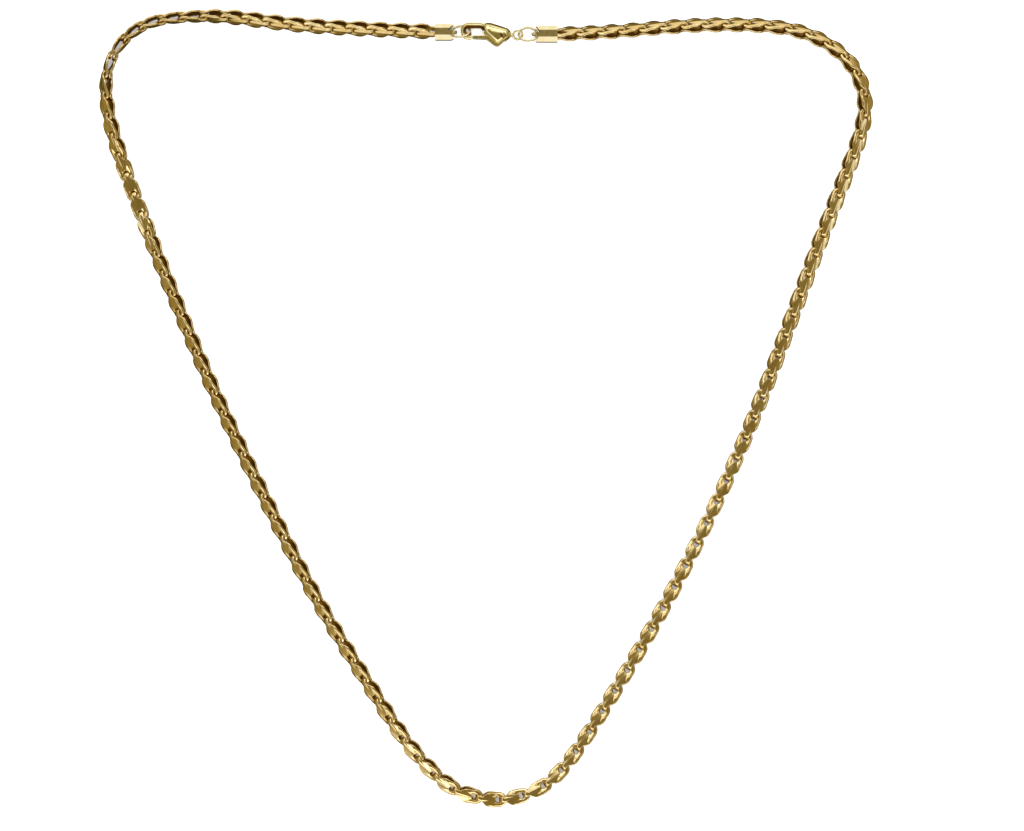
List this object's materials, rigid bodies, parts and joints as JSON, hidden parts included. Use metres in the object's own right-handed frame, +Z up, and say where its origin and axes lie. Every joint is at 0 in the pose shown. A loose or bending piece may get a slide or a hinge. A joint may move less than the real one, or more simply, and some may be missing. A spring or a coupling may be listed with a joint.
{
  "type": "v link neck chain with lobster clasp",
  "caption": "Plain polished gold neck chain of flat V-shaped links, each folded through both eyes of the next, closed by bevelled end caps, jump rings and a lobster clasp.",
  "frame": {"origin": "on the surface that the chain lies on, under the middle of the closed loop", "axes": "+Z up from the surface, +Y from the lowest link towards the clasp, +X along the clasp row from the hook towards its own eye"},
  "size_m": [0.1586, 0.1632, 0.0037],
  "materials": {
    "chain_gold": "polished yellow gold with dark gaps between the links",
    "fitting_gold": "polished pale yellow gold",
    "clasp_gold": "polished yellow gold"
  },
  "bodies": {
    "necklace": {"chain_left": "chain_gold", "chain_right": "chain_gold", "end_cap_left": "fitting_gold", "end_cap_right": "fitting_gold", "jump_ring_left": "fitting_gold", "jump_ring_right": "fitting_gold", "clasp_body": "clasp_gold"},
    "lever": {"clasp_lever": "clasp_gold"}
  },
  "joints": [
    {"name": "lever_hinge", "type": "hinge", "parent": "necklace", "child": "lever", "pos_m": [0.0036, 0.07605, 0.0018], "axis": [0, 0, -1], "range_deg": [0, 12], "stiffness_Nm_per_rad": 0.01, "springref_deg": -11.46}
  ]
}
